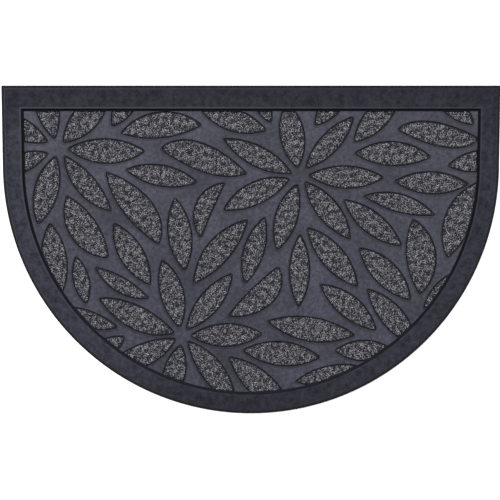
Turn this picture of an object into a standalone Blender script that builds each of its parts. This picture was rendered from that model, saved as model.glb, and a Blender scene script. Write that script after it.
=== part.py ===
"""Half-round doormat: a rubber moulding over one sheet of carpet.

The carpet sheet lies inside the moulding, and its leaf-shaped pads fill the windows of the rubber field.
Metres, +Z up. The origin is under the middle of the mat, and the flat edge looks along +Y.
"""

import math

import bmesh
import bpy
from mathutils import Vector

# The mat's outline: a half circle with straight sides up to the flat edge.
MAT_WIDTH = 0.900
MAT_DEPTH = 0.600
ARC_RADIUS = MAT_WIDTH / 2
FLAT_EDGE_Y = MAT_DEPTH / 2
ARC_CENTRE_Y = ARC_RADIUS - MAT_DEPTH / 2
ARC_SEGMENTS = 48

# The rim is wider along the flat edge, and a groove parts it from the field.
RIM_WIDTH = 0.036
FLAT_RIM_EXTRA = 0.006
LIP_HEIGHT = 0.003
BEVEL_WIDTH = 0.008
BEVEL_TOP = 0.0072
CROWN_INSET = 0.018
RIM_HEIGHT = 0.008
GROOVE_WIDTH = 0.0045
GROOVE_FLOOR = 0.0040
FIELD_HEIGHT = 0.0058

# The carpet sheet between the backing and the field, and the pads that show in the windows.
# Where a leaf reaches the groove, its pad stops a little short of the sheet's own edge.
BACKING_HEIGHT = 0.0015
SHEET_THICKNESS = 0.0018
PAD_TOP = 0.0053
GAP = 0.0003
GROOVE_WALL = 0.0020
PAD_SETBACK = 0.0008

# How far joined and cut shapes run past each other.
OVERRUN = 0.0010

SHEET_BOTTOM = BACKING_HEIGHT + GAP
SHEET_TOP = SHEET_BOTTOM + SHEET_THICKNESS
GROOVE_INSET = RIM_WIDTH + GROOVE_WIDTH
SHEET_INSET = GROOVE_INSET + GROOVE_WALL

# Each side of a leaf is an arc, and its tips are a little blunt.
SIDE_SEGMENTS = 7
BLUNT_SHARE = 0.02

RUBBER_COLOUR = "4d4d58"
CARPET_COLOUR = "55555c"
RUBBER_ROUGHNESS = 0.55
CARPET_ROUGHNESS = 0.95

# Places are measured from the middle of the flat edge, x to the right and y away from the edge.
# left and right are how far the sides bulge, seen from the start of the leaf towards its end.
# lean slides the left bulge towards the end and the right bulge back, for each metre of bulge.
# The pattern as a whole is drawn in a little, towards the middle of the mat.
PATTERN_SCALE = 0.996
PATTERN_MIDDLE_Y = -0.297
LEAF_COLUMNS = ("start_x", "start_y", "end_x", "end_y", "left", "right", "lean")

LEFT_FLOWER = (
    (-0.333, -0.113, -0.192, -0.117, 0.0210, 0.0260, 0.0),
    (-0.341, -0.102, -0.257, -0.009, 0.0230, 0.0260, 0.0),
    (-0.356, -0.093, -0.383, 0.024, 0.0220, 0.0220, 0.0),
    (-0.368, -0.101, -0.477, -0.050, 0.0210, 0.0210, 0.0),
    (-0.368, -0.121, -0.470, -0.162, 0.0170, 0.0200, 0.0),
    (-0.354, -0.126, -0.389, -0.248, 0.0220, 0.0240, 0.0),
    (-0.339, -0.125, -0.254, -0.224, 0.0150, 0.0250, 0.0),
)

MIDDLE_FLOWER = (
    (0.105, -0.161, 0.242, -0.165, 0.0200, 0.0230, 0.0),
    (0.101, -0.142, 0.186, -0.055, 0.0185, 0.0200, 0.0),
    (0.085, -0.148, 0.065, -0.030, 0.0235, 0.0235, 0.0),
    (0.073, -0.155, -0.047, -0.093, 0.0205, 0.0195, 0.0),
    (0.071, -0.168, -0.050, -0.225, 0.0185, 0.0250, 0.0),
    (0.084, -0.177, 0.050, -0.295, 0.0205, 0.0230, 0.0),
    (0.098, -0.173, 0.182, -0.277, 0.0225, 0.0205, 0.0),
)

LOWER_FLOWER = (
    (-0.110, -0.455, 0.019, -0.451, 0.0215, 0.0220, 0.0),
    (-0.118, -0.443, -0.034, -0.340, 0.0200, 0.0220, 0.0),
    (-0.130, -0.437, -0.163, -0.315, 0.0205, 0.0250, 0.0),
    (-0.141, -0.449, -0.278, -0.386, 0.0265, 0.0190, -0.2),
    (-0.139, -0.458, -0.266, -0.517, 0.0250, 0.0160, 0.0),
    (-0.131, -0.470, -0.155, -0.582, 0.0220, 0.0210, 0.0),
    (-0.117, -0.465, -0.029, -0.586, 0.0260, 0.0185, 0.0),
)

UPPER_LEAVES = (
    (-0.252, -0.073, -0.199, 0.012, 0.0200, 0.0200, 0.0),
    (-0.236, -0.086, -0.089, -0.071, 0.0330, 0.0160, 0.0),
    (-0.090, -0.044, 0.028, -0.080, 0.0210, 0.0210, 0.0),
    (-0.163, -0.115, -0.007, -0.158, 0.0330, 0.0200, -0.6),
    (-0.228, -0.149, -0.098, -0.171, 0.0210, 0.0200, 0.0),
    (0.037, -0.061, 0.005, 0.001, 0.0150, 0.0150, 0.0),
    (0.116, -0.071, 0.177, 0.002, 0.0190, 0.0190, 0.0),
    (0.187, -0.101, 0.269, -0.013, 0.0220, 0.0220, 0.0),
    (0.188, -0.122, 0.327, -0.128, 0.0260, 0.0200, 0.0),
    (0.266, -0.076, 0.413, -0.094, 0.0220, 0.0240, -0.8),
    (0.404, -0.070, 0.322, 0.004, 0.0200, 0.0200, 0.0),
    (0.358, -0.144, 0.467, -0.127, 0.0200, 0.0200, 0.0),
    (0.261, -0.170, 0.397, -0.175, 0.0210, 0.0220, 0.0),
    (0.205, -0.197, 0.334, -0.233, 0.0220, 0.0100, 0.0),
)

MIDDLE_LEAVES = (
    (-0.264, -0.155, -0.170, -0.286, 0.0370, 0.0180, 0.4),
    (-0.138, -0.202, -0.121, -0.334, 0.0225, 0.0235, 0.0),
    (-0.045, -0.176, -0.087, -0.276, -0.0020, 0.0370, 0.0),
    (-0.005, -0.242, -0.105, -0.360, 0.0190, 0.0280, 0.0),
    (0.026, -0.237, -0.011, -0.357, 0.0180, 0.0220, 0.0),
    (0.050, -0.327, -0.043, -0.418, 0.0430, 0.0040, -0.15),
    (0.090, -0.268, 0.088, -0.398, 0.0200, 0.0200, 0.0),
    (0.104, -0.256, 0.196, -0.362, 0.0235, 0.0225, 0.0),
    (0.169, -0.205, 0.274, -0.287, 0.0200, 0.0220, 0.0),
    (0.199, -0.293, 0.293, -0.388, 0.0260, 0.0210, 0.0),
    (0.295, -0.241, 0.310, -0.379, 0.0365, 0.0170, 0.0),
    (0.362, -0.307, 0.412, -0.175, 0.0310, 0.0200, 0.0),
    (0.366, -0.340, 0.314, -0.408, 0.0150, 0.0110, 0.0),
)

LOWER_LEAVES = (
    (-0.334, -0.198, -0.260, -0.311, 0.0170, 0.0380, 0.0),
    (-0.250, -0.248, -0.182, -0.362, 0.0220, 0.0250, 0.0),
    (-0.364, -0.248, -0.346, -0.372, 0.0200, 0.0270, 0.0),
    (-0.320, -0.309, -0.302, -0.397, 0.0160, 0.0160, 0.0),
    (-0.285, -0.328, -0.188, -0.384, 0.0100, 0.0210, 0.0),
    (-0.348, -0.402, -0.246, -0.438, 0.0110, 0.0205, 0.0),
    (-0.233, -0.456, -0.318, -0.509, 0.0160, 0.0160, 0.0),
    (-0.041, -0.495, 0.076, -0.604, 0.0270, 0.0225, 0.0),
    (-0.013, -0.483, 0.128, -0.494, 0.0240, 0.0235, 0.0),
    (0.032, -0.427, 0.192, -0.454, 0.0195, 0.0240, 0.0),
    (0.082, -0.541, 0.225, -0.520, 0.0215, 0.0200, 0.0),
    (0.155, -0.481, 0.285, -0.479, 0.0170, 0.0205, 0.0),
    (0.127, -0.361, 0.231, -0.444, 0.0240, 0.0195, 0.0),
    (0.213, -0.369, 0.305, -0.477, 0.0245, 0.0195, 0.0),
)

LEAVES = LEFT_FLOWER + MIDDLE_FLOWER + LOWER_FLOWER + UPPER_LEAVES + MIDDLE_LEAVES + LOWER_LEAVES


def clear_scene():
    for item in list(bpy.data.objects):
        bpy.data.objects.remove(item, do_unlink=True)


def linear_colour(hex_text):
    """An sRGB hex colour as linear red, green, blue and alpha."""
    channels = []
    for first in (0, 2, 4):
        value = int(hex_text[first:first + 2], 16) / 255
        channels.append(value / 12.92 if value <= 0.04045 else ((value + 0.055) / 1.055) ** 2.4)
    return (*channels, 1.0)


def make_material(name, hex_text, roughness):
    material = bpy.data.materials.new(name)
    material.use_nodes = True
    shader = material.node_tree.nodes["Principled BSDF"]
    shader.inputs["Base Color"].default_value = linear_colour(hex_text)
    shader.inputs["Roughness"].default_value = roughness
    shader.inputs["Metallic"].default_value = 0.0
    return material


def add_object(name, bm):
    """A new object that holds the shape of a bmesh, with its faces pointing out."""
    bmesh.ops.recalc_face_normals(bm, faces=bm.faces[:])
    mesh = bpy.data.meshes.new(name)
    bm.to_mesh(mesh)
    bm.free()
    item = bpy.data.objects.new(name, mesh)
    bpy.context.scene.collection.objects.link(item)
    return item


def combine(item, operation, other):
    modifier = item.modifiers.new(f"{operation.lower()} {other.name}", "BOOLEAN")
    modifier.operation = operation
    modifier.object = other
    modifier.solver = "EXACT"


def hide_helper(item):
    item.hide_render = True
    item.display_type = "WIRE"


def mat_outline(inset, flat_inset):
    """The half-round outline at a distance in from the mat's edge, counter-clockwise."""
    radius = ARC_RADIUS - inset
    flat_y = FLAT_EDGE_Y - flat_inset
    points = [(radius, flat_y), (-radius, flat_y)]
    for step in range(ARC_SEGMENTS + 1):
        angle = math.pi * (1 + step / ARC_SEGMENTS)
        points.append((radius * math.cos(angle), ARC_CENTRE_Y + radius * math.sin(angle)))
    return points


def loft(bm, rings):
    """A closed solid through a stack of rings, each given as points and a height."""
    placed = [[bm.verts.new((x, y, height)) for x, y in points] for points, height in rings]
    for lower, upper in zip(placed, placed[1:]):
        for i in range(len(lower)):
            bm.faces.new((lower[i - 1], lower[i], upper[i], upper[i - 1]))
    bm.faces.new(placed[0][::-1])
    bm.faces.new(placed[-1])


def add_prism(bm, points, bottom, top):
    loft(bm, ((points, bottom), (points, top)))


def leaf_side(start, end, bulge, lean, grow):
    """Points along one arc of a leaf, from start to end, bulging to the left and grown outwards."""
    half_chord = (end - start).length / 2
    along = (end - start).normalized()
    outward = Vector((-along.y, along.x))
    half_angle = 2 * math.atan(bulge / half_chord)
    radius = half_chord / math.sin(half_angle)
    points = []
    for step in range(SIDE_SEGMENTS + 1):
        share = BLUNT_SHARE + (1 - 2 * BLUNT_SHARE) * step / SIDE_SEGMENTS
        angle = half_angle * (2 * share - 1)
        across = bulge - radius * (1 - math.cos(angle))
        distance = half_chord + radius * math.sin(angle) + lean * across
        normal = along * math.sin(angle) + outward * math.cos(angle)
        points.append(start + along * distance + outward * across + normal * grow)
    points[0] -= along * grow
    points[-1] += along * grow
    return points


def pattern_point(x, y):
    """A place in the leaf tables, drawn in with the pattern and measured from the mat's middle."""
    return Vector((x * PATTERN_SCALE, FLAT_EDGE_Y + PATTERN_MIDDLE_Y + (y - PATTERN_MIDDLE_Y) * PATTERN_SCALE))


def leaf_outline(row, grow):
    """A leaf's outline, counter-clockwise: its right side out, and its left side back."""
    leaf = dict(zip(LEAF_COLUMNS, row))
    start = pattern_point(leaf["start_x"], leaf["start_y"])
    end = pattern_point(leaf["end_x"], leaf["end_y"])
    right_side = leaf_side(end, start, leaf["right"], leaf["lean"], grow)
    left_side = leaf_side(start, end, leaf["left"], leaf["lean"], grow)
    return right_side + left_side


def make_pads(name, grow, bottom, top):
    """All leaves as upright prisms, cut off where they reach the groove."""
    bm = bmesh.new()
    for row in LEAVES:
        add_prism(bm, leaf_outline(row, grow), bottom, top)
    pads = add_object(name, bm)
    limit_inset = SHEET_INSET + PAD_SETBACK - grow
    bm = bmesh.new()
    limit_outline = mat_outline(limit_inset, limit_inset + FLAT_RIM_EXTRA)
    add_prism(bm, limit_outline, bottom - OVERRUN, top + OVERRUN)
    limit = add_object(f"{name} limit", bm)
    combine(pads, "INTERSECT", limit)
    hide_helper(pads)
    hide_helper(limit)
    return pads


def make_sheet(name, grow):
    """The flat half-round sheet that lies under the rubber field."""
    inset = SHEET_INSET - grow
    bm = bmesh.new()
    add_prism(bm, mat_outline(inset, inset + FLAT_RIM_EXTRA), SHEET_BOTTOM - grow, SHEET_TOP + grow)
    return add_object(name, bm)


def make_carpet_panel():
    """One piece of carpet: the hidden sheet, and the pads that stand up in the windows."""
    panel = make_sheet("carpet_panel", 0.0)
    combine(panel, "UNION", make_pads("leaf pads", 0.0, SHEET_TOP - OVERRUN, PAD_TOP))
    panel.data.materials.append(make_material("needle-punch carpet", CARPET_COLOUR, CARPET_ROUGHNESS))
    return panel


def make_rubber_moulding():
    """The lip, bevelled rim, groove, field and backing in one, with room for the carpet."""
    profile = (
        (0.0, 0.0),
        (0.0, LIP_HEIGHT),
        (BEVEL_WIDTH, BEVEL_TOP),
        (CROWN_INSET, RIM_HEIGHT),
        (RIM_WIDTH, RIM_HEIGHT),
        (RIM_WIDTH, GROOVE_FLOOR),
        (GROOVE_INSET, GROOVE_FLOOR),
        (GROOVE_INSET, FIELD_HEIGHT),
    )
    rings = []
    for inset, height in profile:
        extra = FLAT_RIM_EXTRA if inset >= CROWN_INSET else 0.0
        rings.append((mat_outline(inset, inset + extra), height))
    bm = bmesh.new()
    loft(bm, rings)
    moulding = add_object("rubber_moulding", bm)

    room = make_sheet("carpet room", GAP)
    combine(room, "UNION", make_pads("leaf windows", GAP, SHEET_TOP, FIELD_HEIGHT + OVERRUN))
    hide_helper(room)
    combine(moulding, "DIFFERENCE", room)
    moulding.data.materials.append(make_material("moulded rubber", RUBBER_COLOUR, RUBBER_ROUGHNESS))
    return moulding


def main():
    clear_scene()
    make_rubber_moulding()
    make_carpet_panel()


main()
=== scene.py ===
"""Looks of the half-round doormat: a charcoal rubber moulding with carpet in its leaf-shaped windows."""

import math

import bmesh
import bpy
import numpy as np
from mathutils import Matrix, Vector


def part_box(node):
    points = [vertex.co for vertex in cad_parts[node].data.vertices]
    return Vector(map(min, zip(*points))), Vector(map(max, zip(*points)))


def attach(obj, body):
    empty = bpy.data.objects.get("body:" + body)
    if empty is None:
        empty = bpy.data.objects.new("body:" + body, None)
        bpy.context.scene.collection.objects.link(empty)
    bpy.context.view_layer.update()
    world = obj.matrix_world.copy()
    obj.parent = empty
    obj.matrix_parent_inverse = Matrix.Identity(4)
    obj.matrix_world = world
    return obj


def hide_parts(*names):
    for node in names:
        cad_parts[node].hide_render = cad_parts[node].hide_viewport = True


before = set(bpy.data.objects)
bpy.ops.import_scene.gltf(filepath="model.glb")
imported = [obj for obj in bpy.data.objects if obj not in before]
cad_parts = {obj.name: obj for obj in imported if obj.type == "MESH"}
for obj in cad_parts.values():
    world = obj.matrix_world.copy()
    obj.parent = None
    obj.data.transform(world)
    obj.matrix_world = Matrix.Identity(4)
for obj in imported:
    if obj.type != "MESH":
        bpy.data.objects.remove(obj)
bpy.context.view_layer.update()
RUBBER_LOW, RUBBER_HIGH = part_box("rubber_moulding")
CARPET_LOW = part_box("carpet_panel")[0]

MM = 0.001

# The mat's outline, from the frame: a half circle with straight sides up to the flat edge.
ARC_RADIUS = (RUBBER_HIGH.x - RUBBER_LOW.x) / 2
FLAT_EDGE_Y = RUBBER_HIGH.y
ARC_CENTRE_Y = RUBBER_LOW.y + ARC_RADIUS
RIM_HEIGHT = RUBBER_HIGH.z
ARC_STEPS = 180

# Widths and heights of the moulding, as in the part's source.
RIM_WIDTH = 36 * MM
FLAT_RIM_EXTRA = 6 * MM
CROWN_INSET = 18 * MM
GROOVE_WIDTH = 4.5 * MM
GROOVE_FLOOR = 4.0 * MM
GROOVE_INSET = RIM_WIDTH + GROOVE_WIDTH
FIELD_HEIGHT = 5.8 * MM

# The moulding's profile from its outer edge inwards: how far in, and how high.
LIP_HEIGHT = 2.6 * MM
BEAD_INSET = 6.4 * MM
BEAD_HEIGHT = 7.4 * MM
OUTER_PROFILE = (
    (0.05 * MM, LIP_HEIGHT),
    (0.20 * MM, LIP_HEIGHT + 0.3 * MM),
    (0.60 * MM, LIP_HEIGHT + 0.5 * MM),
    (BEAD_INSET - 0.5 * MM, BEAD_HEIGHT - 1.0 * MM),
    (BEAD_INSET, BEAD_HEIGHT - 0.1 * MM),
    (BEAD_INSET + 0.5 * MM, BEAD_HEIGHT),
    (BEAD_INSET + 1.0 * MM, BEAD_HEIGHT - 0.4 * MM),
    (CROWN_INSET, RIM_HEIGHT - 0.5 * MM),
)
INNER_PROFILE = (
    (RIM_WIDTH - 3.6 * MM, RIM_HEIGHT - 0.5 * MM),
    (RIM_WIDTH - 2.4 * MM, RIM_HEIGHT),
    (RIM_WIDTH - 0.9 * MM, RIM_HEIGHT),
    (RIM_WIDTH - 0.3 * MM, RIM_HEIGHT - 0.4 * MM),
    (RIM_WIDTH, RIM_HEIGHT - 1.1 * MM),
    (RIM_WIDTH + 0.2 * MM, GROOVE_FLOOR + 0.2 * MM),
    (RIM_WIDTH + 0.5 * MM, GROOVE_FLOOR),
    (GROOVE_INSET - 0.5 * MM, GROOVE_FLOOR),
    (GROOVE_INSET - 0.2 * MM, GROOVE_FLOOR + 0.2 * MM),
    (GROOVE_INSET, FIELD_HEIGHT - 0.5 * MM),
    (GROOVE_INSET + 0.2 * MM, FIELD_HEIGHT - 0.15 * MM),
    (GROOVE_INSET + 0.6 * MM, FIELD_HEIGHT),
)

# The groove's painted shade reaches a little past its inner side, and ends a little below the field.
GROOVE_SHADE_REACH = 0.1 * MM
GROOVE_SHADE_DROP = 0.3 * MM

# The tops of the rim's two beads, which carry a painted highlight: how far down and across they reach.
OUTER_BEAD_DROP = 0.2 * MM
OUTER_BEAD_WIDTH = 1.1 * MM
INNER_BEAD_DROP = 0.05 * MM
INNER_BEAD_WIDTH = 3.0 * MM

# How bright their painted highlight is, as shares at two places: less at the round end, and less at the
# right.
HIGHLIGHT_ALONG_Y = ((-200 * MM, 100 * MM), (0.25, 1.0))
HIGHLIGHT_ALONG_X = ((-100 * MM, 300 * MM), (1.0, 0.45))

# The carpet sheet, and its room in the rubber.
SHEET_BOTTOM = CARPET_LOW.z
SHEET_TOP = 3.6 * MM
SHEET_INSET = GROOVE_INSET + 0.6 * MM
ROOM_GAP = 0.2 * MM

# The low pads that the sheet raises in the windows, each in a trough.
PAD_INSET = GROOVE_INSET + 1.2 * MM
PAD_HEIGHT = 4.7 * MM
PAD_WALL = 0.3 * MM
PAD_SHOULDER = 0.5 * MM
PAD_CROWN = 1.6 * MM
TROUGH_WIDTH = 2.8 * MM

# The windows: a rounded edge, a steep wall, and a shallow ledge that shows on their lower left sides.
WINDOW_INSET = GROOVE_INSET - 0.5 * MM
EDGE_ROUND = 1.6 * MM
EDGE_ANGLES = (30, 60, 90)
WALL_DRAFT = 0.1 * MM
LEDGE_INSET = GROOVE_INSET + 1.0 * MM
LEDGE_DEPTH = 0.65 * MM
LEDGE_SHIFT = (-1.0 * MM, -2.6 * MM, 0)

# How far a cutting solid reaches past what it cuts.
OVERRUN = 1.0 * MM

# Leaves: spun sides, and tips rounded by a small bevel. Their tips and sides lie a little further out than
# the tables say. Where a leaf is drawn in, its tips move in TIP_SHARE times as far as its sides.
SIDE_STEPS = 18
TIP_SEGMENTS = 3
TIP_ROUND = 5.5 * MM
TIP_REACH = 3.7 * MM
SIDE_REACH = 0.8 * MM
TIP_SHARE = 1.6
WELD_REACH = 0.1 * MM

# Places are measured from the middle of the flat edge, x to the right and y away from the edge.
# left and right are how far the sides bulge, seen from the start of the leaf towards its end.
# lean slides the left bulge towards the end and the right bulge back, for each metre of bulge.
# The pattern as a whole is drawn in a little, towards the middle of the mat.
PATTERN_SCALE = 0.996
PATTERN_MIDDLE_Y = -0.297
LEAF_COLUMNS = ("start_x", "start_y", "end_x", "end_y", "left", "right", "lean")

LEFT_FLOWER = (
    (-0.333, -0.113, -0.192, -0.117, 0.0210, 0.0260, 0.0),
    (-0.341, -0.102, -0.257, -0.009, 0.0230, 0.0260, 0.0),
    (-0.356, -0.096, -0.383, 0.024, 0.0220, 0.0220, 0.0),
    (-0.368, -0.101, -0.477, -0.050, 0.0210, 0.0210, 0.0),
    (-0.368, -0.121, -0.470, -0.162, 0.0170, 0.0200, 0.0),
    (-0.354, -0.126, -0.389, -0.251, 0.0220, 0.0240, 0.0),
    (-0.339, -0.125, -0.254, -0.226, 0.0150, 0.0250, 0.0),
)

MIDDLE_FLOWER = (
    (0.105, -0.161, 0.242, -0.165, 0.0200, 0.0230, 0.0),
    (0.099, -0.149, 0.186, -0.055, 0.0185, 0.0200, 0.0),
    (0.085, -0.148, 0.065, -0.030, 0.0235, 0.0235, 0.0),
    (0.075, -0.158, -0.050, -0.095, 0.0205, 0.0195, 0.0),
    (0.071, -0.168, -0.050, -0.225, 0.0185, 0.0250, 0.0),
    (0.084, -0.177, 0.048, -0.298, 0.0205, 0.0230, 0.0),
    (0.098, -0.173, 0.182, -0.278, 0.0225, 0.0205, 0.0),
)

LOWER_FLOWER = (
    (-0.111, -0.455, 0.021, -0.452, 0.0215, 0.0235, 0.0),
    (-0.119, -0.445, -0.034, -0.340, 0.0200, 0.0220, 0.0),
    (-0.131, -0.441, -0.163, -0.315, 0.0205, 0.0250, 0.0),
    (-0.140, -0.450, -0.279, -0.386, 0.0275, 0.0190, -0.2),
    (-0.138, -0.460, -0.268, -0.514, 0.0280, 0.0160, 0.0),
    (-0.129, -0.472, -0.155, -0.582, 0.0220, 0.0210, 0.0),
    (-0.117, -0.465, -0.029, -0.586, 0.0260, 0.0185, 0.0),
)

UPPER_LEAVES = (
    (-0.252, -0.073, -0.199, 0.012, 0.0200, 0.0200, 0.0),
    (-0.236, -0.086, -0.089, -0.071, 0.0330, 0.0160, 0.0),
    (-0.090, -0.044, 0.028, -0.080, 0.0210, 0.0210, 0.0),
    (-0.163, -0.115, -0.007, -0.158, 0.0330, 0.0200, -0.6),
    (-0.228, -0.151, -0.097, -0.174, 0.0210, 0.0200, 0.0),
    (0.036, -0.066, 0.005, 0.001, 0.0150, 0.0150, 0.0),
    (0.116, -0.071, 0.177, 0.002, 0.0190, 0.0190, 0.0),
    (0.187, -0.101, 0.269, -0.013, 0.0220, 0.0220, 0.0),
    (0.188, -0.122, 0.327, -0.128, 0.0260, 0.0200, 0.0),
    (0.266, -0.079, 0.413, -0.094, 0.0220, 0.0240, -0.8),
    (0.404, -0.070, 0.322, 0.004, 0.0200, 0.0200, 0.0),
    (0.358, -0.144, 0.467, -0.127, 0.0200, 0.0200, 0.0),
    (0.261, -0.172, 0.397, -0.177, 0.0210, 0.0220, 0.0),
    (0.205, -0.199, 0.336, -0.234, 0.0225, 0.0130, 0.0),
)

MIDDLE_LEAVES = (
    (-0.264, -0.155, -0.170, -0.288, 0.0370, 0.0180, 0.4),
    (-0.138, -0.202, -0.121, -0.336, 0.0225, 0.0235, 0.0),
    (-0.045, -0.176, -0.089, -0.276, -0.0020, 0.0370, 0.0),
    (-0.005, -0.242, -0.105, -0.360, 0.0190, 0.0280, 0.0),
    (0.026, -0.237, -0.011, -0.360, 0.0180, 0.0220, 0.0),
    (0.048, -0.327, -0.043, -0.418, 0.0425, 0.0040, -0.25),
    (0.090, -0.268, 0.088, -0.403, 0.0200, 0.0200, 0.0),
    (0.103, -0.256, 0.196, -0.365, 0.0235, 0.0225, 0.0),
    (0.169, -0.205, 0.276, -0.290, 0.0200, 0.0220, 0.0),
    (0.198, -0.294, 0.293, -0.390, 0.0260, 0.0210, 0.0),
    (0.295, -0.241, 0.310, -0.379, 0.0375, 0.0190, 0.0),
    (0.360, -0.312, 0.412, -0.175, 0.0335, 0.0200, 0.0),
    (0.366, -0.341, 0.317, -0.404, 0.0150, 0.0100, 0.0),
)

LOWER_LEAVES = (
    (-0.334, -0.198, -0.260, -0.311, 0.0170, 0.0380, 0.0),
    (-0.250, -0.248, -0.184, -0.362, 0.0220, 0.0250, 0.0),
    (-0.366, -0.248, -0.346, -0.376, 0.0200, 0.0270, 0.0),
    (-0.320, -0.309, -0.302, -0.397, 0.0160, 0.0160, 0.0),
    (-0.285, -0.328, -0.187, -0.386, 0.0100, 0.0210, 0.0),
    (-0.352, -0.400, -0.244, -0.439, 0.0110, 0.0220, 0.0),
    (-0.232, -0.457, -0.318, -0.509, 0.0200, 0.0180, 0.0),
    (-0.041, -0.495, 0.076, -0.604, 0.0270, 0.0225, 0.0),
    (-0.015, -0.483, 0.128, -0.496, 0.0240, 0.0235, 0.0),
    (0.030, -0.428, 0.192, -0.454, 0.0205, 0.0265, 0.0),
    (0.082, -0.541, 0.225, -0.520, 0.0215, 0.0200, 0.0),
    (0.155, -0.483, 0.263, -0.483, 0.0200, 0.0210, 0.0),
    (0.127, -0.361, 0.231, -0.446, 0.0240, 0.0195, 0.0),
    (0.213, -0.369, 0.305, -0.477, 0.0245, 0.0195, 0.0),
)

PILE_GROUPS = {
    "pile_left_flower": LEFT_FLOWER,
    "pile_middle_flower": MIDDLE_FLOWER,
    "pile_lower_flower": LOWER_FLOWER,
    "pile_upper_leaves": UPPER_LEAVES,
    "pile_middle_leaves": MIDDLE_LEAVES,
    "pile_lower_leaves": LOWER_LEAVES,
}

# The pile's strands: short pieces of fibre, bent into low arches. Spans are the least and the most.
STRAND_KINDS = 6
STRAND_RADIUS = 0.5 * MM
STRAND_SIDES = 3
STRAND_STEPS = 2
STRAND_RISE = 0.1 * MM
ARCH_SPAN_MM = (0.8, 1.3)
TURN_SPAN_DEGREES = (110, 160)
LEAN_SPAN = (-0.6, 0.6)
STRETCH_SPAN = (1.0, 1.25)
SQUASH_SPAN = (0.75, 1.0)
SIZE_SPAN = (0.85, 1.2)
PILE_SEED = 41

# Where the strands stand: on a jittered grid inside each window, with a wandering margin and bare tips.
STRAND_PITCH = 1.95 * MM
STRAND_JITTER = 0.45
PILE_MARGIN = 3.3 * MM
MARGIN_WAVE = 14 * MM
MARGIN_WANDER = 0.55 * MM
PILE_RIM_MARGIN = 1.2 * MM
TIP_BARE = 9.5 * MM
TIP_BARE_SPREAD = 2.5 * MM

# The pile is low and its strands are small at a window's sides. It is full from FULL_PILE_DEPTH inwards.
FULL_PILE_DEPTH = 6.0 * MM
LOWEST_PILE = 0.45
EDGE_REACH = 1.6 * MM
SMALLEST_STRAND = 0.5
ROOT_DEPTH = 1.0 * MM
MIDDLE_RISE = 0.9 * MM
ROOT_SPREAD = 0.15 * MM

# Random waves, and how much they lighten and darken the strands' own shades, clump by clump.
WAVE_COUNT = 6
WAVE_SPREAD = (0.7, 1.4)
CLUMP_WAVE = 13 * MM
CLUMP_SHARE = 0.2
LIGHTEST_SHADE = 1.1

# Sizes of the patterns in the finishes.
CLOUD_SIZE = 90 * MM
FIELD_MOTTLE_SIZE = 7 * MM
FIELD_GRAIN_SIZE = 2.2 * MM
RIM_MOTTLE_SIZE = 11 * MM
STIPPLE_SIZE = 1.6 * MM
FLECK_SIZE = 2.4 * MM

# Where tones change, each from one place to another. Painted shade darkens the rubber down in the windows
# and low on the lip, and the carpet in the troughs. Painted light makes the rim paler towards the middle
# of the mat's sides, fading to a share at the right, and lightens the groove's painted shade at the round
# end.
WINDOW_PAINTED_SHADE = (FIELD_HEIGHT - 1.2 * MM, FIELD_HEIGHT - 0.2 * MM)
LIP_PAINTED_SHADE = (4.5 * MM, 7.5 * MM)
TROUGH_PAINTED_SHADE = (SHEET_TOP + 0.2 * MM, PAD_HEIGHT - 0.3 * MM)
RIM_PAINTED_LIGHT_Y = (290 * MM, 180 * MM)
RIM_PAINTED_LIGHT_X = (-200 * MM, 400 * MM)
RIGHT_PAINTED_LIGHT = 0.4
GROOVE_PAINTED_LIGHT_Y = (50 * MM, -250 * MM)

# A face's normal has this height or more if the face is level, and this or less if it looks down.
LEVEL = 0.999
DOWNWARD = -0.5


def linear(hex_text):
    """An sRGB hex colour as linear red, green, blue and alpha."""
    channels = []
    for first in (0, 2, 4):
        value = int(hex_text[first:first + 2], 16) / 255
        channels.append(value / 12.92 if value <= 0.04045 else ((value + 0.055) / 1.055) ** 2.4)
    return (*channels, 1.0)


def add_object(name, bm):
    """A new object that holds the shape of a bmesh."""
    mesh = bpy.data.meshes.new(name)
    bm.to_mesh(mesh)
    bm.free()
    item = bpy.data.objects.new(name, mesh)
    bpy.context.scene.collection.objects.link(item)
    return item


def combine(item, operation, other):
    """Joins two closed shapes, cuts one with the other, or keeps what they share. The second is used up."""
    modifier = item.modifiers.new("combine", "BOOLEAN")
    modifier.operation = operation
    modifier.object = other
    modifier.solver = "EXACT"
    evaluated = item.evaluated_get(bpy.context.evaluated_depsgraph_get())
    mesh = bpy.data.meshes.new_from_object(evaluated)
    item.modifiers.clear()
    item.data = mesh
    bpy.data.objects.remove(other, do_unlink=True)


def half_round_face(bm, inset, flat_inset, height):
    """A flat half-round face: a spun arc, closed by the straight sides and the flat edge."""
    radius = ARC_RADIUS - inset
    first = bm.verts.new((-radius, ARC_CENTRE_Y, height))
    centre = (0, ARC_CENTRE_Y, height)
    bmesh.ops.spin(bm, geom=[first], cent=centre, axis=(0, 0, 1), dvec=(0, 0, 0), angle=math.pi,
                   steps=ARC_STEPS, use_merge=False, use_duplicate=False)
    for side in (1, -1):
        bm.verts.new((side * radius, FLAT_EDGE_Y - flat_inset, height))
    return bm.faces.new(bm.verts)


def extrude(bm, face, keep):
    """Extrudes one face and returns the new one. The old one can stay as the solid's near side."""
    made = bmesh.ops.extrude_face_region(bm, geom=[face], use_keep_orig=True)["geom"]
    if not keep:
        bmesh.ops.delete(bm, geom=[face], context="FACES_ONLY")
    return next(f for f in made if isinstance(f, bmesh.types.BMFace))


def move_level(bm, face, rise):
    bmesh.ops.translate(bm, verts=face.verts[:], vec=(0, 0, rise))


def draw_rings(bm, face, steps, reached, height):
    """Draws a face in, step by step: each step is how far in from the start it is, and its height."""
    for inset, level in steps:
        bmesh.ops.inset_region(bm, faces=[face], thickness=inset - reached, depth=0, use_even_offset=True,
                               use_boundary=True)
        move_level(bm, face, level - height)
        reached = inset
        height = level


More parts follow.
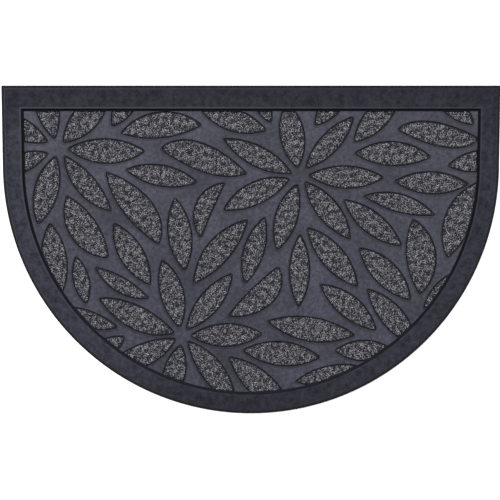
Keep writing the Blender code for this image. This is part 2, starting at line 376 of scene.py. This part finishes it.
def half_round_solid(name, inset, bottom, top):
    bm = bmesh.new()
    face = half_round_face(bm, inset, inset + FLAT_RIM_EXTRA, bottom)
    move_level(bm, extrude(bm, face, True), top - bottom)
    bmesh.ops.recalc_face_normals(bm, faces=bm.faces[:])
    return add_object(name, bm)


def add_leaf_side(bm, start, end, bulge, lean):
    """Spins one side of a leaf from start to end. It bulges to the left, and leans by a shear."""
    half_chord = (end - start).length / 2
    along = (end - start).normalized()
    outward = Vector((-along.y, along.x, 0))
    middle = (start + end) / 2
    half_angle = 2 * math.atan(bulge / half_chord)
    radius = half_chord / math.sin(half_angle)
    before = len(bm.verts)
    first = bm.verts.new(start)
    bmesh.ops.spin(bm, geom=[first], cent=middle + outward * (bulge - radius), axis=(0, 0, 1),
                   dvec=(0, 0, 0), angle=-2 * half_angle, steps=SIDE_STEPS, use_merge=False,
                   use_duplicate=False)
    side = bm.verts[:][before:]
    shear = Matrix.Identity(4)
    for row in range(2):
        for column in range(2):
            shear[row][column] += lean * along[row] * outward[column]
    bmesh.ops.transform(bm, matrix=shear, space=Matrix.Translation(-middle), verts=side)
    return side


def pattern_point(x, y):
    """A place in the leaf tables, drawn in with the pattern and measured from the mat's middle."""
    from_middle = (y - PATTERN_MIDDLE_Y) * PATTERN_SCALE
    return Vector((x * PATTERN_SCALE, FLAT_EDGE_Y + PATTERN_MIDDLE_Y + from_middle, 0))


def leaf_ends(row):
    """A leaf's values by name, and its two ends, all with the extra reach of its tips and sides."""
    leaf = dict(zip(LEAF_COLUMNS, row))
    start = pattern_point(leaf["start_x"], leaf["start_y"])
    end = pattern_point(leaf["end_x"], leaf["end_y"])
    leaf["left"] += SIDE_REACH
    leaf["right"] += SIDE_REACH
    reach = (end - start).normalized() * TIP_REACH
    return leaf, start - reach, end + reach


def add_leaf(bm, row, height, tip_round):
    """One leaf as a flat face: two spun sides, with its tips rounded."""
    leaf, start, end = leaf_ends(row)
    start.z = height
    end.z = height
    side = add_leaf_side(bm, start, end, leaf["left"], leaf["lean"])
    side += add_leaf_side(bm, end, start, leaf["right"], leaf["lean"])
    bmesh.ops.remove_doubles(bm, verts=side, dist=WELD_REACH)
    side = [v for v in side if v.is_valid]
    if tip_round:
        tips = [v for v in side if min((v.co - start).length, (v.co - end).length) < 2 * WELD_REACH]
        made = bmesh.ops.bevel(bm, geom=tips, offset=tip_round, offset_type="OFFSET",
                               segments=TIP_SEGMENTS, profile=0.5, affect="VERTICES", material=-1)
        side = [v for v in side if v.is_valid] + made["verts"]
    edges = [e for e in bm.edges if not e.link_faces]
    return bmesh.ops.contextual_create(bm, geom=edges)["faces"][0]


def leaf_frame(row):
    """A matrix at the middle of a leaf, with x along it. Also the leaf's length and width."""
    leaf, start, end = leaf_ends(row)
    along = (end - start).normalized()
    outward = Vector((-along.y, along.x, 0))
    middle = (start + end) / 2 + outward * (leaf["left"] - leaf["right"]) / 2
    turn = Matrix.Rotation(math.atan2(along.y, along.x), 4, "Z")
    return Matrix.Translation(middle) @ turn, (end - start).length, leaf["left"] + leaf["right"]


def add_leaf_solid(bm, row, base, steps, tip_round):
    """A closed solid on a leaf. Each step draws its far face in and moves it to a height."""
    face = extrude(bm, add_leaf(bm, row, base, tip_round), True)
    place, length, width = leaf_frame(row)
    reached = 0.0
    height = base
    for inset, level in steps:
        if inset > reached:
            if height != base:
                face = extrude(bm, face, False)
            drawn = inset - reached
            size = (1 - 2 * TIP_SHARE * drawn / length, 1 - 2 * drawn / width, 1)
            bmesh.ops.scale(bm, vec=size, space=place.inverted(), verts=face.verts[:])
        move_level(bm, face, level - height)
        reached = inset
        height = level


def leaf_solids(name, base, steps, tip_round, limit_inset, shift=(0, 0, 0)):
    """All leaves as closed solids, moved aside by shift and cut off where they reach the groove."""
    bm = bmesh.new()
    for table in PILE_GROUPS.values():
        for row in table:
            add_leaf_solid(bm, row, base, steps, tip_round)
    bmesh.ops.translate(bm, verts=bm.verts[:], vec=shift)
    bmesh.ops.recalc_face_normals(bm, faces=bm.faces[:])
    leaves = add_object(name, bm)
    heights = [base] + [level for _, level in steps]
    limit = half_round_solid("limit", limit_inset, min(heights) - OVERRUN, max(heights) + OVERRUN)
    combine(leaves, "INTERSECT", limit)
    return leaves


def shade(item):
    """Smooth shading, apart from the level faces, which stay flat."""
    for face in item.data.polygons:
        face.use_smooth = abs(face.normal.z) < LEVEL


def make_moulding():
    """The rim, groove and field as one closed solid, drawn in from its outline ring by ring."""
    bm = bmesh.new()
    top = extrude(bm, half_round_face(bm, 0.0, 0.0, 0.0), True)
    draw_rings(bm, top, OUTER_PROFILE, 0.0, 0.0)
    flat_corners = sorted(top.verts, key=lambda v: -v.co.y)[:2]
    bmesh.ops.translate(bm, verts=flat_corners, vec=(0, -FLAT_RIM_EXTRA, 0))
    draw_rings(bm, top, INNER_PROFILE, *OUTER_PROFILE[-1])
    bmesh.ops.recalc_face_normals(bm, faces=bm.faces[:])
    return add_object("rubber_mat", bm)


def window_steps():
    """A window's profile from the field down: a rounded edge, then a steep wall."""
    steps = [(0.0, FIELD_HEIGHT)]
    for degrees in EDGE_ANGLES:
        angle = math.radians(degrees)
        steps.append((EDGE_ROUND * math.sin(angle), FIELD_HEIGHT - EDGE_ROUND * (1 - math.cos(angle))))
    steps.append((EDGE_ROUND + WALL_DRAFT, SHEET_TOP))
    return steps


def cut_windows(rubber):
    """Cuts the carpet's room, and the windows with their ledges, out of the moulding."""
    room = half_round_solid("room", SHEET_INSET - ROOM_GAP, SHEET_BOTTOM - ROOM_GAP, SHEET_TOP + ROOM_GAP)
    windows = leaf_solids("windows", FIELD_HEIGHT + OVERRUN, window_steps(), TIP_ROUND, WINDOW_INSET)
    ledges = leaf_solids("ledges", FIELD_HEIGHT + 1.5 * OVERRUN, [(0.0, FIELD_HEIGHT - LEDGE_DEPTH)],
                         TIP_ROUND, LEDGE_INSET, LEDGE_SHIFT)
    combine(windows, "UNION", ledges)
    combine(room, "UNION", windows)
    combine(rubber, "DIFFERENCE", room)


def finish_rubber(rubber):
    """Gives the rim, the field with its windows, and the groove each its own finish."""
    rubber.data.materials.clear()
    for material in (rim_rubber(), field_rubber(), groove_rubber()):
        rubber.data.materials.append(material)
    rim, field, groove = range(3)
    for face in rubber.data.polygons:
        depth = depth_from_rim(np.array([face.center[:2]]))[0]
        in_groove = RIM_WIDTH < depth < GROOVE_INSET + GROOVE_SHADE_REACH
        face.material_index = rim
        if depth > RIM_WIDTH + GROOVE_WIDTH / 2 and face.normal.z > DOWNWARD:
            face.material_index = field
        # The groove's faces get the painted shade material.
        if in_groove and face.center.z < FIELD_HEIGHT - GROOVE_SHADE_DROP:
            face.material_index = groove


def paint_bead_highlights(rubber):
    """Stores a painted highlight for each point on the tops of the rim's two beads: how bright it is."""
    corners = np.array([v.co[:] for v in rubber.data.vertices])
    x, y, height = corners.T
    outer = height > BEAD_HEIGHT - OUTER_BEAD_DROP
    outer &= depth_from_rim(corners, 0.0) < BEAD_INSET + OUTER_BEAD_WIDTH
    inner = height > RIM_HEIGHT - INNER_BEAD_DROP
    inner &= depth_from_rim(corners) > RIM_WIDTH - INNER_BEAD_WIDTH
    # The painted highlight fades towards the round end and towards the right.
    shares = np.interp(y, *HIGHLIGHT_ALONG_Y) * np.interp(x, *HIGHLIGHT_ALONG_X)
    painted_highlight = rubber.data.attributes.new("painted_highlight", "FLOAT", "POINT")
    painted_highlight.data.foreach_set("value", (outer | inner) * shares)


def make_rubber():
    """The rubber moulding, with its windows cut and its finishes given."""
    rubber = make_moulding()
    cut_windows(rubber)
    finish_rubber(rubber)
    paint_bead_highlights(rubber)
    shade(rubber)
    return rubber


def make_carpet():
    """The carpet sheet, raised into a low pad in each window."""
    carpet = half_round_solid("carpet_sheet", SHEET_INSET, SHEET_BOTTOM, SHEET_TOP)
    steps = (
        (TROUGH_WIDTH, SHEET_TOP),
        (TROUGH_WIDTH + PAD_WALL, PAD_HEIGHT - PAD_SHOULDER),
        (TROUGH_WIDTH + PAD_CROWN, PAD_HEIGHT),
    )
    pads = leaf_solids("pads", SHEET_TOP - OVERRUN, steps, 0.0, PAD_INSET)
    combine(carpet, "UNION", pads)
    carpet.data.materials.clear()
    carpet.data.materials.append(matted_carpet())
    shade(carpet)
    return carpet


def strand_shapes(random):
    """A few strands, each a thin three-sided tube spun into a low arch and pulled a little to one side."""
    shapes = []
    for _ in range(STRAND_KINDS):
        bm = bmesh.new()
        bmesh.ops.create_circle(bm, cap_ends=True, segments=STRAND_SIDES, radius=STRAND_RADIUS)
        arch = random.uniform(*ARCH_SPAN_MM) * MM
        turn = math.radians(random.uniform(*TURN_SPAN_DEGREES))
        bmesh.ops.translate(bm, verts=bm.verts[:], vec=(arch, 0, 0))
        bmesh.ops.spin(bm, geom=bm.faces[:], cent=(0, 0, 0), axis=(0, -1, 0), dvec=(0, STRAND_RISE, 0),
                       angle=turn, steps=STRAND_STEPS, use_merge=False, use_duplicate=False)
        bend = Matrix.Identity(4)
        bend[1][2] = random.uniform(*LEAN_SPAN)
        bend[0][0] = random.uniform(*STRETCH_SPAN)
        bend[2][2] = random.uniform(*SQUASH_SPAN)
        bmesh.ops.transform(bm, matrix=bend, verts=bm.verts[:])
        bmesh.ops.recalc_face_normals(bm, faces=bm.faces[:])
        bm.verts.index_update()
        points = np.array([v.co[:] for v in bm.verts])
        faces = [[v.index for v in f.verts] for f in bm.faces]
        points -= (points.min(0) + points.max(0)) / 2 * (1, 1, 0)
        shapes.append((points, faces))
        bm.free()
    return shapes


def leaf_points(row):
    """The outline of a leaf as an array of x and y."""
    bm = bmesh.new()
    add_leaf(bm, row, 0.0, 0.0)
    points = np.array([loop.vert.co[:2] for loop in bm.faces[:][0].loops])
    bm.free()
    return points


def depth_inside(points, outline):
    """How deep each point lies inside an outline, or a negative distance outside it."""
    start = outline[None]
    end = np.roll(outline, -1, axis=0)[None]
    place = points[:, None]
    edge = end - start
    share = ((place - start) * edge).sum(2) / (edge * edge).sum(2)
    nearest = start + edge * share.clip(0, 1)[..., None]
    distance = np.hypot(*(place - nearest).transpose(2, 0, 1)).min(1)
    above = (start[..., 1] > place[..., 1]) != (end[..., 1] > place[..., 1])
    rise = np.where(edge[..., 1] == 0, 1, edge[..., 1])
    crossing = start[..., 0] + (place[..., 1] - start[..., 1]) * edge[..., 0] / rise
    inside = (above & (place[..., 0] < crossing)).sum(1) % 2 == 1
    return np.where(inside, distance, -distance)


def depth_from_rim(points, flat_extra=FLAT_RIM_EXTRA):
    """How far each point lies in from the mat's edge, less the rim's extra width along the flat edge."""
    across = np.abs(points[:, 0])
    below = points[:, 1] < ARC_CENTRE_Y
    across = np.where(below, np.hypot(points[:, 0], points[:, 1] - ARC_CENTRE_Y), across)
    return np.minimum(ARC_RADIUS - across, FLAT_EDGE_Y - flat_extra - points[:, 1])


def waves(points, size, random):
    """A smooth random value for each point, mostly between -1 and 1: a few sine waves that cross."""
    total = np.zeros(len(points))
    for _ in range(WAVE_COUNT):
        angle = random.uniform(0, 2 * math.pi)
        length = size * random.uniform(*WAVE_SPREAD)
        along = points @ np.array((math.cos(angle), math.sin(angle)))
        total += np.sin(2 * math.pi * along / length + random.uniform(0, 2 * math.pi))
    return total / math.sqrt(WAVE_COUNT)


def pile_places(row, random):
    """Where the strands of one leaf stand, and how deep inside its outline each one is."""
    outline = leaf_points(row)
    low = outline.min(0)
    high = outline.max(0)
    row_pitch = STRAND_PITCH * math.sqrt(3) / 2
    x, y = np.meshgrid(np.arange(low[0], high[0], STRAND_PITCH), np.arange(low[1], high[1], row_pitch))
    x[1::2] += STRAND_PITCH / 2
    points = np.stack([x.ravel(), y.ravel()], 1)
    points += random.uniform(-STRAND_JITTER, STRAND_JITTER, points.shape) * STRAND_PITCH
    depth = depth_inside(points, outline)
    wander = waves(points, MARGIN_WAVE, random) * MARGIN_WANDER
    kept = (depth > PILE_MARGIN + wander) & (depth_from_rim(points) > GROOVE_INSET + PILE_RIM_MARGIN)
    for tip in leaf_ends(row)[1:]:
        bare = TIP_BARE + random.uniform(-1, 1) * TIP_BARE_SPREAD
        kept &= np.hypot(points[:, 0] - tip.x, points[:, 1] - tip.y) > bare
    return points[kept], depth[kept]


def make_pile(name, rows, shapes, fibre, random):
    """The strands of a group of leaves, joined into one mesh. Each strand carries its own shade of grey."""
    places = [pile_places(row, random) for row in rows]
    points = np.concatenate([p for p, _ in places])
    depth = np.concatenate([d for _, d in places])
    count = len(points)
    kinds = random.integers(0, STRAND_KINDS, count)
    shape = np.stack([s[0] for s in shapes])[kinds]
    full = (depth / FULL_PILE_DEPTH).clip(LOWEST_PILE, 1.0)
    grown = ((depth - TROUGH_WIDTH) / EDGE_REACH).clip(SMALLEST_STRAND, 1.0)
    size = random.uniform(*SIZE_SPAN, count) * grown
    turn = random.uniform(0, 2 * math.pi, count)
    cos, sin = np.cos(turn)[:, None], np.sin(turn)[:, None]
    x = shape[..., 0] * size[:, None]
    y = shape[..., 1] * size[:, None]
    z = shape[..., 2] * (size * full)[:, None]
    base = PAD_HEIGHT - ROOT_DEPTH + (full - LOWEST_PILE) * MIDDLE_RISE
    base += random.uniform(-1, 1, count) * ROOT_SPREAD
    corners = np.stack([
        points[:, :1] + x * cos - y * sin,
        points[:, 1:] + x * sin + y * cos,
        base[:, None] + z,
    ], 2).reshape(-1, 3)
    per_strand = shape.shape[1]
    faces = [[corner + number * per_strand for corner in face]
             for number, kind in enumerate(kinds) for face in shapes[kind][1]]
    mesh = bpy.data.meshes.new(name)
    mesh.from_pydata(corners.tolist(), [], faces)
    grey = mesh.attributes.new("shade", "FLOAT", "POINT")
    lights = random.uniform(0, 1, count) + waves(points, CLUMP_WAVE, random) * CLUMP_SHARE
    grey.data.foreach_set("value", np.repeat(lights.clip(0, LIGHTEST_SHADE), per_strand))
    mesh.shade_smooth()
    mesh.materials.append(fibre)
    item = bpy.data.objects.new(name, mesh)
    bpy.context.scene.collection.objects.link(item)
    return item


def feed(tree, item, inputs):
    """Gives each named or numbered input of a shader node a value or a link."""
    for key, value in inputs.items():
        if isinstance(value, bpy.types.NodeSocket):
            tree.links.new(value, item.inputs[key])
        else:
            item.inputs[key].default_value = value


def add(tree, kind, inputs, **settings):
    """Adds a shader node with its settings and inputs."""
    item = tree.nodes.new("ShaderNode" + kind)
    for name, value in settings.items():
        setattr(item, name, value)
    feed(tree, item, inputs)
    return item


def new_material(name):
    """A material, its node tree and its Principled shader."""
    material = bpy.data.materials.new(name)
    material.use_nodes = True
    return material, material.node_tree, material.node_tree.nodes["Principled BSDF"]


def field_rubber():
    """Smooth moulded rubber: satin charcoal, a little uneven in tone, painted shade blacker in the windows.
    """
    material, tree, shader = new_material("moulded rubber, satin field")
    place = add(tree, "TexCoord", {}).outputs["Object"]
    clouds = add(tree, "TexNoise", {"Vector": place, "Scale": 1 / CLOUD_SIZE, "Detail": 2.0})
    bloom = add(tree, "MapRange", {"Value": clouds.outputs["Fac"], "From Min": 0.35, "From Max": 0.65})
    dark = add(tree, "Mix", {0: bloom.outputs["Result"], 6: linear("20202a"), 7: linear("2b2b37")},
               data_type="RGBA")
    light = add(tree, "Mix", {0: bloom.outputs["Result"], 6: linear("373744"), 7: linear("484857")},
                data_type="RGBA")
    mottle = add(tree, "TexNoise", {"Vector": place, "Scale": 1 / FIELD_MOTTLE_SIZE, "Detail": 4.0,
                                    "Roughness": 0.8})
    patch = add(tree, "MapRange", {"Value": mottle.outputs["Fac"], "From Min": 0.36, "From Max": 0.64})
    tone = add(tree, "Mix", {0: patch.outputs["Result"], 6: dark.outputs[2], 7: light.outputs[2]},
               data_type="RGBA")
    axes = add(tree, "SeparateXYZ", {"Vector": place})
    # Painted shade: the rubber turns nearly black down the windows' edges and walls.
    raised = add(tree, "MapRange", {"Value": axes.outputs["Z"], "From Min": WINDOW_PAINTED_SHADE[0],
                                    "From Max": WINDOW_PAINTED_SHADE[1]})
    colour = add(tree, "Mix", {0: raised.outputs["Result"], 6: linear("10101a"), 7: tone.outputs[2]},
                 data_type="RGBA")
    grain = add(tree, "TexNoise", {"Vector": place, "Scale": 1 / FIELD_GRAIN_SIZE, "Detail": 2.0})
    bump = add(tree, "Bump", {"Height": grain.outputs["Fac"], "Strength": 0.25, "Distance": 0.1 * MM})
    feed(tree, shader, {"Base Color": colour.outputs[2], "Normal": bump.outputs["Normal"],
                        "Roughness": 0.5, "IOR": 1.5, "Specular IOR Level": 0.35})
    return material


def rim_rubber():
    """Rubber with a blasted mould's fine stipple, duller and darker, with painted light at the mat's sides.
    """
    material, tree, shader = new_material("moulded rubber, stippled rim")
    place = add(tree, "TexCoord", {}).outputs["Object"]
    grain = add(tree, "TexNoise", {"Vector": place, "Scale": 1 / RIM_MOTTLE_SIZE, "Detail": 5.0,
                                   "Roughness": 0.8})
    mottle = add(tree, "MapRange", {"Value": grain.outputs["Fac"], "From Min": 0.36, "From Max": 0.64})
    plain_mottle = add(tree, "Mix", {0: mottle.outputs["Result"], 6: linear("18181f"), 7: linear("2e2e37")},
               data_type="RGBA")
    painted_light_mottle = add(tree, "Mix", {0: mottle.outputs["Result"], 6: linear("202028"), 7: linear("3c3c48")},
                data_type="RGBA")
    # Painted light: the rim turns paler towards the middle of the mat's sides, less so at the right.
    axes = add(tree, "SeparateXYZ", {"Vector": place})
    from_middle = add(tree, "Math", {0: axes.outputs["Y"]}, operation="ABSOLUTE")
    sides = add(tree, "MapRange", {"Value": from_middle.outputs[0], "From Min": RIM_PAINTED_LIGHT_Y[0],
                                   "From Max": RIM_PAINTED_LIGHT_Y[1]}, interpolation_type="SMOOTHSTEP")
    across = add(tree, "MapRange", {"Value": axes.outputs["X"], "From Min": RIM_PAINTED_LIGHT_X[0],
                                    "From Max": RIM_PAINTED_LIGHT_X[1], "To Min": 1.0, "To Max": RIGHT_PAINTED_LIGHT})
    painted_light = add(tree, "Math", {0: sides.outputs["Result"], 1: across.outputs["Result"]},
               operation="MULTIPLY")
    tone = add(tree, "Mix", {0: painted_light.outputs[0], 6: plain_mottle.outputs[2], 7: painted_light_mottle.outputs[2]},
               data_type="RGBA")
    # Painted shade: the rim darkens towards the lower parts of its lip.
    raised = add(tree, "MapRange", {"Value": axes.outputs["Z"], "From Min": LIP_PAINTED_SHADE[0],
                                    "From Max": LIP_PAINTED_SHADE[1]})
    body = add(tree, "Mix", {0: raised.outputs["Result"], 6: linear("16161c"), 7: tone.outputs[2]},
               data_type="RGBA")
    # Painted highlight: a paler line along the tops of the rim's two beads.
    painted_highlight = add(tree, "Attribute", {}, attribute_name="painted_highlight").outputs["Fac"]
    colour = add(tree, "Mix", {0: painted_highlight, 6: body.outputs[2], 7: linear("3c3c45")}, data_type="RGBA")
    stipple = add(tree, "TexNoise", {"Vector": place, "Scale": 1 / STIPPLE_SIZE, "Detail": 3.0})
    bump = add(tree, "Bump", {"Height": stipple.outputs["Fac"], "Strength": 0.5, "Distance": 0.25 * MM})
    feed(tree, shader, {"Base Color": colour.outputs[2], "Normal": bump.outputs["Normal"],
                        "Roughness": 0.75, "IOR": 1.5, "Specular IOR Level": 0.12})
    return material


def groove_rubber():
    """The groove's rubber as painted shade, nearly black and dull, with painted light at the round end."""
    material, tree, shader = new_material("moulded rubber, groove painted shade")
    place = add(tree, "TexCoord", {}).outputs["Object"]
    axes = add(tree, "SeparateXYZ", {"Vector": place})
    round_end = add(tree, "MapRange", {"Value": axes.outputs["Y"], "From Min": GROOVE_PAINTED_LIGHT_Y[0],
                                       "From Max": GROOVE_PAINTED_LIGHT_Y[1]})
    # Painted shade: nearly black rubber in the groove, with painted light making it paler towards the round
    # end.
    colour = add(tree, "Mix", {0: round_end.outputs["Result"], 6: linear("0d0d13"), 7: linear("1c1c25")},
                 data_type="RGBA")
    feed(tree, shader, {"Base Color": colour.outputs[2], "Roughness": 0.8, "Specular IOR Level": 0.1})
    return material


def matted_carpet():
    """The needle-punch carpet's felted bed: dark, fuzzy and flecked, with painted shade in the troughs."""
    material, tree, shader = new_material("needle-punch carpet, felted bed")
    place = add(tree, "TexCoord", {}).outputs["Object"]
    flecks = add(tree, "TexNoise", {"Vector": place, "Scale": 1 / FLECK_SIZE, "Detail": 3.0})
    light = add(tree, "MapRange", {"Value": flecks.outputs["Fac"], "From Min": 0.45, "From Max": 0.7})
    tone = add(tree, "Mix", {0: light.outputs["Result"], 6: linear("18181b"), 7: linear("46464c")},
               data_type="RGBA")
    axes = add(tree, "SeparateXYZ", {"Vector": place})
    # Painted shade: the bed turns nearly black down in the troughs.
    raised = add(tree, "MapRange", {"Value": axes.outputs["Z"], "From Min": TROUGH_PAINTED_SHADE[0],
                                    "From Max": TROUGH_PAINTED_SHADE[1]})
    colour = add(tree, "Mix", {0: raised.outputs["Result"], 6: linear("12121c"), 7: tone.outputs[2]},
                 data_type="RGBA")
    bump = add(tree, "Bump", {"Height": flecks.outputs["Fac"], "Strength": 0.8, "Distance": 0.6 * MM})
    feed(tree, shader, {"Base Color": colour.outputs[2], "Normal": bump.outputs["Normal"],
                        "Roughness": 0.95, "Specular IOR Level": 0.2})
    return material


def pile_fibre():
    """Spun polypropylene fibre in mixed greys: mostly dark strands with some light ones, dull on top."""
    material, tree, shader = new_material("polypropylene pile fibre")
    own_shade = add(tree, "Attribute", {}, attribute_name="shade").outputs["Fac"]
    light = add(tree, "MapRange", {"Value": own_shade, "From Min": 0.25, "From Max": 1.0})
    tone = add(tree, "Mix", {0: light.outputs["Result"], 6: linear("2a2a36"), 7: linear("b1b1b8")},
               data_type="RGBA")
    feed(tree, shader, {"Base Color": tone.outputs[2], "Roughness": 0.85, "Specular IOR Level": 0.25})
    return material


# How far the floor reaches to each side, so that its edge doesn't show from low down.
FLOOR_REACH = 40.0


def make_floor():
    """A plain white studio floor under the mat, a little bright of itself so that it stays white."""
    bm = bmesh.new()
    bmesh.ops.create_grid(bm, x_segments=1, y_segments=1, size=FLOOR_REACH)
    floor = add_object("floor", bm)
    material, tree, shader = new_material("white studio floor")
    feed(tree, shader, {"Base Color": linear("f8f8f8"), "Roughness": 0.9, "Specular IOR Level": 0.1,
                        "Emission Color": linear("ffffff"), "Emission Strength": 0.35})
    floor.data.materials.append(material)


# The camera looks down on the mat from a little beyond its flat edge.
AIM = Vector((0.0, 0.003, RIM_HEIGHT))
CAMERA_DISTANCE = 1.8
CAMERA_TILT = math.radians(4.21)
FRAME_PIXELS = 500
FOCAL_PIXELS = 989.5
SENSOR_MM = 36.0
CENTRE_X_PIXEL = 250.9
CENTRE_Y_PIXEL = 250.0


def make_camera():
    data = bpy.data.cameras.new("camera")
    data.sensor_width = SENSOR_MM
    data.lens = SENSOR_MM * FOCAL_PIXELS / FRAME_PIXELS
    data.shift_x = (FRAME_PIXELS / 2 - CENTRE_X_PIXEL) / FRAME_PIXELS
    data.shift_y = (CENTRE_Y_PIXEL - FRAME_PIXELS / 2) / FRAME_PIXELS
    camera = bpy.data.objects.new("camera", data)
    bpy.context.scene.collection.objects.link(camera)
    camera.location = AIM + CAMERA_DISTANCE * Vector((0, math.sin(CAMERA_TILT), math.cos(CAMERA_TILT)))
    camera.rotation_euler = (-CAMERA_TILT, 0, 0)
    bpy.context.scene.camera = camera


# The strength of the white surroundings, and each softbox's place, size and watts.
SURROUND_STRENGTH = 0.52
SOFTBOXES = {
    "key": ((-1.8, 2.7, 3.8), 1.2, 195.0),
    "fill": ((2.6, 0.4, 3.4), 1.6, 44.0),
}


def add_softbox(name, place, size, watts):
    """A square softbox that faces the middle of the mat."""
    data = bpy.data.lights.new(name, "AREA")
    data.size = size
    data.energy = watts
    lamp = bpy.data.objects.new(name, data)
    lamp.location = place
    lamp.rotation_euler = (-Vector(place)).to_track_quat("-Z", "Y").to_euler()
    bpy.context.scene.collection.objects.link(lamp)


def make_light():
    """Even white surroundings, a softbox at the upper left that draws the edges, a weak one at the right."""
    world = bpy.data.worlds.new("studio")
    world.use_nodes = True
    surround = world.node_tree.nodes["Background"]
    feed(world.node_tree, surround, {"Color": linear("ffffff"), "Strength": SURROUND_STRENGTH})
    bpy.context.scene.world = world
    for name, (place, size, watts) in SOFTBOXES.items():
        add_softbox(name, place, size, watts)
    bpy.context.scene.view_settings.view_transform = "Standard"


def main():
    make_camera()
    make_light()
    make_floor()
    random = np.random.default_rng(PILE_SEED)
    rubber = make_rubber()
    carpet = make_carpet()
    shapes = strand_shapes(random)
    fibre = pile_fibre()
    pile = [make_pile(name, rows, shapes, fibre, random) for name, rows in PILE_GROUPS.items()]
    for piece in (rubber, carpet, *pile):
        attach(piece, "root")
    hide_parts("rubber_moulding")
    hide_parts("carpet_panel")


main()
